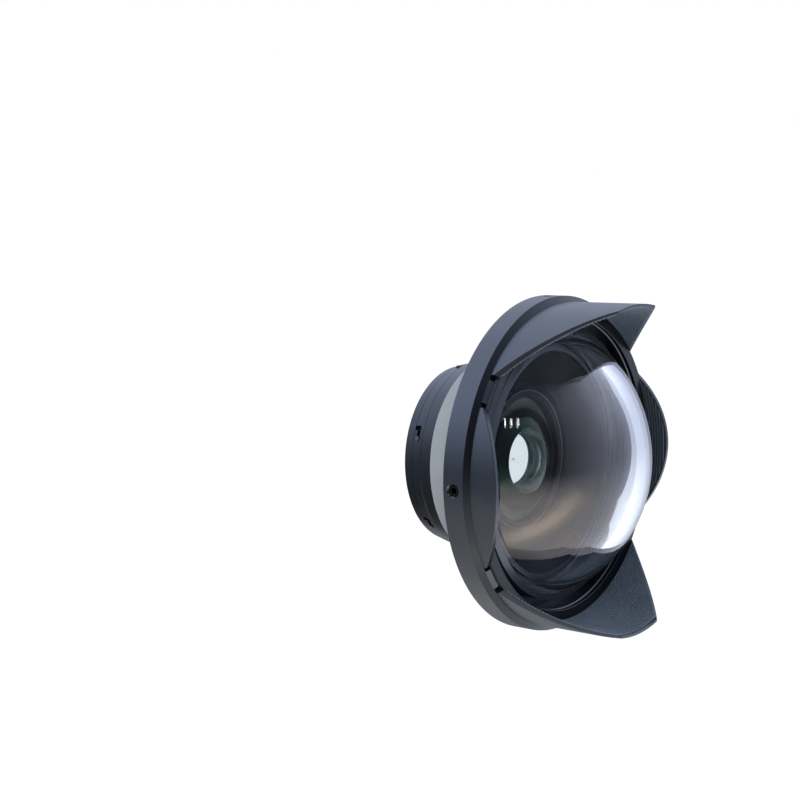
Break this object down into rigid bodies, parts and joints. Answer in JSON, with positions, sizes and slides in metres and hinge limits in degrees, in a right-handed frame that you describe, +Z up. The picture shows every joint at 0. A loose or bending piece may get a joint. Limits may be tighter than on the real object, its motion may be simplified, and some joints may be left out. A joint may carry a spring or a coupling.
{
  "type": "wide-angle wet lens",
  "caption": "Underwater wide-angle wet lens: a glass dome inside a turning petal hood, a light grey float collar, and a short-twist bayonet on a threaded port ring.",
  "frame": {"origin": "centre of the port ring's rear seat face, on the optical axis", "axes": "the optical axis is Y: +Y points back into the camera port and the dome looks along -Y; +Z is up, towards the middle of the upper large petal; +X is to the right for someone who looks into the dome's front from -Y"},
  "size_m": [0.152, 0.1027, 0.152],
  "materials": {
    "black_anodised": "matte black anodised",
    "grey_float": "matte light grey",
    "dome_glass": "polished, anti-reflection coated",
    "coated_glass": "polished, green anti-reflection coating",
    "seal_rubber": "matte black",
    "stainless_steel": "plain",
    "black_steel": "black oxide"
  },
  "bodies": {
    "port_side": {"port_ring": "black_anodised", "bayonet_pins": "stainless_steel"},
    "lens": {"bayonet_collar": "black_anodised", "rear_barrel": "black_anodised", "main_housing": "black_anodised", "dome_retainer": "black_anodised", "baffle_cone": "black_anodised", "baffle_land_ring": "black_anodised", "lens_cell": "black_anodised", "rear_lens_ring": "black_anodised", "cell_spacer": "black_anodised", "inner_lens_ring": "black_anodised", "float_collar": "grey_float", "dome": "dome_glass", "rear_lens": "coated_glass", "middle_lens": "coated_glass", "inner_lens": "coated_glass", "dome_seal": "seal_rubber", "cell_seal": "seal_rubber", "rear_lens_seal": "seal_rubber", "collar_screws": "stainless_steel", "barrel_screws": "stainless_steel"},
    "hood": {"hood": "black_anodised"},
    "set_screw_top": {"hood_set_screw_top": "black_steel"},
    "set_screw_right": {"hood_set_screw_right": "black_steel"},
    "set_screw_bottom": {"hood_set_screw_bottom": "black_steel"},
    "set_screw_left": {"hood_set_screw_left": "black_steel"}
  },
  "joints": [
    {"name": "bayonet_twist", "type": "hinge", "parent": "port_side", "child": "lens", "pos_m": [0, 0, 0], "axis": [0, -1, 0], "range_deg": [0, 6.5]},
    {"name": "hood_turn", "type": "hinge", "parent": "lens", "child": "hood", "pos_m": [0, 0, 0], "axis": [0, 1, 0], "continuous": true},
    {"name": "set_screw_top_travel", "type": "slide", "parent": "hood", "child": "set_screw_top", "axis": [0, 0, 1], "range_m": [0, 0.0015]},
    {"name": "set_screw_right_travel", "type": "slide", "parent": "hood", "child": "set_screw_right", "axis": [1, 0, 0], "range_m": [0, 0.0015]},
    {"name": "set_screw_bottom_travel", "type": "slide", "parent": "hood", "child": "set_screw_bottom", "axis": [0, 0, -1], "range_m": [0, 0.0015]},
    {"name": "set_screw_left_travel", "type": "slide", "parent": "hood", "child": "set_screw_left", "axis": [-1, 0, 0], "range_m": [0, 0.0015]}
  ]
}
